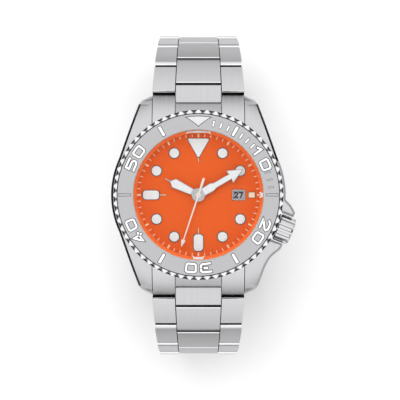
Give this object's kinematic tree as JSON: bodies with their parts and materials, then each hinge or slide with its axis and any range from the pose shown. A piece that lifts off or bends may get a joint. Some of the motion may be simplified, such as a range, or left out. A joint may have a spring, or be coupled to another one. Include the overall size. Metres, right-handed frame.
{
  "type": "dive watch",
  "caption": "Steel dive watch with a scalloped turning bezel, orange dial, offset crown at 4 o'clock, three-row bracelet and fold-over clasp.",
  "frame": {"origin": "centre of the case back's outer face", "axes": "+Z out of the dial, +Y to 12 o'clock, +X to 3 o'clock"},
  "size_m": [0.0441, 0.08, 0.0499],
  "materials": {
    "case_steel": "brushed flanks and lugs with polished chamfers",
    "bracelet_steel": "satin brushed with polished edges",
    "clasp_steel": "satin brushed",
    "blade_steel": "polished",
    "bezel_steel": "polished grip edge",
    "insert_steel": "fine circular brushing with white numerals",
    "crown_steel": "polished flutes",
    "back_steel": "polished",
    "small_steel": "bright",
    "sapphire": "clear polished",
    "dial_orange": "sunburst lacquer",
    "rehaut_orange": "satin lacquer",
    "hand_white": "white lume in bright frames",
    "date_white": "printed disc",
    "gasket_black": "matte",
    "gasket_white": "moulded",
    "movement_brass": "machined",
    "circuit_green": "board",
    "coil_copper": "wound copper"
  },
  "bodies": {
    "case": {"mid_case": "case_steel", "case_back": "back_steel", "case_back_gasket": "gasket_black", "crystal": "sapphire", "crystal_gasket": "gasket_white", "chapter_ring": "rehaut_orange", "dial": "dial_orange", "date_frame": "small_steel", "end_link_12": "case_steel", "end_link_6": "case_steel", "spring_bar_12": "small_steel", "spring_bar_6": "small_steel", "movement_holder": "gasket_white", "movement_plate": "movement_brass", "battery": "small_steel", "circuit_board": "circuit_green", "stepper_coil": "coil_copper", "crown_tube": "small_steel", "bezel_click_spring": "small_steel", "bezel_retaining_ring": "small_steel"},
    "bezel": {"bezel_ring": "bezel_steel", "bezel_insert": "insert_steel"},
    "stem": {"winding_stem": "small_steel"},
    "crown": {"crown": "crown_steel", "crown_gasket": "gasket_black"},
    "seconds": {"seconds_hand": "hand_white", "seconds_arbor": "small_steel"},
    "minutes": {"minute_hand": "hand_white", "cannon_pinion": "movement_brass"},
    "hours": {"hour_hand": "hand_white", "hour_wheel": "movement_brass"},
    "minute_train": {"minute_wheel": "movement_brass"},
    "date": {"date_ring": "date_white"},
    "link_12_1": {"link_12_1": "bracelet_steel"},
    "link_12_2": {"link_12_2": "bracelet_steel"},
    "link_12_3": {"link_12_3": "bracelet_steel"},
    "link_12_4": {"link_12_4": "bracelet_steel"},
    "link_12_5": {"link_12_5": "bracelet_steel"},
    "link_12_6": {"link_12_6": "bracelet_steel"},
    "link_12_7": {"link_12_7": "bracelet_steel"},
    "link_6_1": {"link_6_1": "bracelet_steel"},
    "link_6_2": {"link_6_2": "bracelet_steel"},
    "link_6_3": {"link_6_3": "bracelet_steel"},
    "link_6_4": {"link_6_4": "bracelet_steel"},
    "link_6_5": {"link_6_5": "bracelet_steel"},
    "link_6_6": {"link_6_6": "bracelet_steel"},
    "link_6_7": {"link_6_7": "bracelet_steel"},
    "cover": {"clasp_cover": "clasp_steel", "clasp_spring_bar_12": "small_steel"},
    "blade_outer": {"clasp_blade_outer": "blade_steel"},
    "blade_inner": {"clasp_blade_inner": "blade_steel", "clasp_spring_bar_6": "small_steel"},
    "lever": {"safety_lever": "clasp_steel"},
    "button_left": {"push_button_left": "blade_steel"},
    "button_right": {"push_button_right": "blade_steel"}
  },
  "joints": [
    {"name": "bezel_turn", "type": "hinge", "parent": "case", "child": "bezel", "pos_m": [0, 0, 0.0095], "axis": [0, 0, 1], "continuous": true},
    {"name": "stem_pull", "type": "slide", "parent": "case", "child": "stem", "axis": [0.9291, -0.3697, 0], "range_m": [0, 0.0012]},
    {"name": "crown_turn", "type": "hinge", "parent": "stem", "child": "crown", "pos_m": [0, 0, 0.0051], "axis": [0.9291, -0.3697, 0], "continuous": true},
    {"name": "seconds_turn", "type": "hinge", "parent": "case", "child": "seconds", "pos_m": [0, 0, 0.00885], "axis": [0, 0, -1], "continuous": true},
    {"name": "minutes_turn", "type": "hinge", "parent": "case", "child": "minutes", "pos_m": [0, 0, 0.0084], "axis": [0, 0, -1], "continuous": true},
    {"name": "hours_turn", "type": "hinge", "parent": "case", "child": "hours", "pos_m": [0, 0, 0.00785], "axis": [0, 0, -1], "continuous": true},
    {"name": "minute_wheel_turn", "type": "hinge", "parent": "case", "child": "minute_train", "pos_m": [-0.00329, 0.0019, 0.0054], "axis": [0, 0, -1], "continuous": true},
    {"name": "date_turn", "type": "hinge", "parent": "case", "child": "date", "pos_m": [0, 0, 0.00627], "axis": [0, 0, -1], "continuous": true},
    {"name": "hinge_12_1", "type": "hinge", "parent": "case", "child": "link_12_1", "pos_m": [0, 0.0257, 0.003], "axis": [1, 0, 0], "range_deg": [0, 28]},
    {"name": "hinge_12_2", "type": "hinge", "parent": "link_12_1", "child": "link_12_2", "pos_m": [0, 0.03186, 0.00013], "axis": [1, 0, 0], "range_deg": [0, 28]},
    {"name": "hinge_12_3", "type": "hinge", "parent": "link_12_2", "child": "link_12_3", "pos_m": [0, 0.03623, -0.00508], "axis": [1, 0, 0], "range_deg": [0, 23]},
    {"name": "hinge_12_4", "type": "hinge", "parent": "link_12_3", "child": "link_12_4", "pos_m": [0, 0.03856, -0.01147], "axis": [1, 0, 0], "range_deg": [0, 30]},
    {"name": "hinge_12_5", "type": "hinge", "parent": "link_12_4", "child": "link_12_5", "pos_m": [0, 0.03773, -0.01822], "axis": [1, 0, 0], "range_deg": [0, 26]},
    {"name": "hinge_12_6", "type": "hinge", "parent": "link_12_5", "child": "link_12_6", "pos_m": [0, 0.03433, -0.02411], "axis": [1, 0, 0], "range_deg": [0, 23]},
    {"name": "hinge_12_7", "type": "hinge", "parent": "link_12_6", "child": "link_12_7", "pos_m": [0, 0.02912, -0.02848], "axis": [1, 0, 0], "range_deg": [0, 23]},
    {"name": "hinge_6_1", "type": "hinge", "parent": "case", "child": "link_6_1", "pos_m": [0, -0.0257, 0.003], "axis": [-1, 0, 0], "range_deg": [0, 28]},
    {"name": "hinge_6_2", "type": "hinge", "parent": "link_6_1", "child": "link_6_2", "pos_m": [0, -0.03186, 0.00013], "axis": [-1, 0, 0], "range_deg": [0, 28]},
    {"name": "hinge_6_3", "type": "hinge", "parent": "link_6_2", "child": "link_6_3", "pos_m": [0, -0.03623, -0.00508], "axis": [-1, 0, 0], "range_deg": [0, 23]},
    {"name": "hinge_6_4", "type": "hinge", "parent": "link_6_3", "child": "link_6_4", "pos_m": [0, -0.03856, -0.01147], "axis": [-1, 0, 0], "range_deg": [0, 30]},
    {"name": "hinge_6_5", "type": "hinge", "parent": "link_6_4", "child": "link_6_5", "pos_m": [0, -0.03773, -0.01822], "axis": [-1, 0, 0], "range_deg": [0, 26]},
    {"name": "hinge_6_6", "type": "hinge", "parent": "link_6_5", "child": "link_6_6", "pos_m": [0, -0.03433, -0.02411], "axis": [-1, 0, 0], "range_deg": [0, 23]},
    {"name": "hinge_6_7", "type": "hinge", "parent": "link_6_6", "child": "link_6_7", "pos_m": [0, -0.02912, -0.02848], "axis": [-1, 0, 0], "range_deg": [0, 23]},
    {"name": "clasp_cover_hinge", "type": "hinge", "parent": "link_12_7", "child": "cover", "pos_m": [0, 0.02273, -0.03081], "axis": [1, 0, 0], "range_deg": [0, 60]},
    {"name": "fold_1", "type": "hinge", "parent": "cover", "child": "blade_outer", "pos_m": [0, -0.01945, -0.03303], "axis": [1, 0, 0], "range_deg": [0, 45]},
    {"name": "fold_2", "type": "hinge", "parent": "blade_outer", "child": "blade_inner", "pos_m": [0, 0.01611, -0.03342], "axis": [-1, 0, 0], "range_deg": [0, 45]},
    {"name": "safety_lever_hinge", "type": "hinge", "parent": "cover", "child": "lever", "pos_m": [0, -0.01208, -0.0352], "axis": [1, 0, 0], "range_deg": [0, 70]},
    {"name": "button_left_press", "type": "slide", "parent": "cover", "child": "button_left", "axis": [1, 0, 0], "range_m": [0, 0.0006], "stiffness_N_per_m": 400},
    {"name": "button_right_press", "type": "slide", "parent": "cover", "child": "button_right", "axis": [-1, 0, 0], "range_m": [0, 0.0006], "stiffness_N_per_m": 400}
  ],
  "couplings": [
    {"joint": "minutes_turn", "follows": "seconds_turn", "ratio": 0.016667},
    {"joint": "hours_turn", "follows": "seconds_turn", "ratio": 0.0013889},
    {"joint": "minute_wheel_turn", "follows": "seconds_turn", "ratio": -0.0055556}
  ]
}
